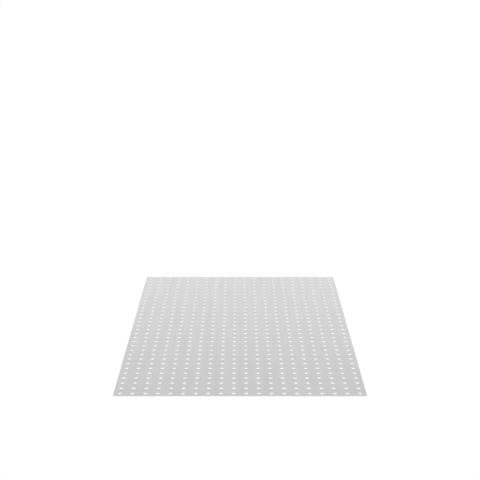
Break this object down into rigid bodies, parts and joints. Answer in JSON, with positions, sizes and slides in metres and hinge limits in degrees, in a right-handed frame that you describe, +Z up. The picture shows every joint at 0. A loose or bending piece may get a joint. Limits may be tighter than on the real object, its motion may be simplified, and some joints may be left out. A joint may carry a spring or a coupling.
{
  "type": "drilled aluminium plate",
  "caption": "Flat rectangular aluminium sheet with a square grid of plain round through holes, half a pitch in from every edge, for bolting things to.",
  "frame": {"origin": "middle of the underside, on the surface that the plate lies on", "axes": "+X across the width, +Y along the length, +Z up through the thickness"},
  "size_m": [0.5, 0.75, 0.001],
  "materials": {
    "aluminium": "mill, satin"
  },
  "bodies": {
    "root": {"drilled_plate": "aluminium"}
  },
  "joints": []
}
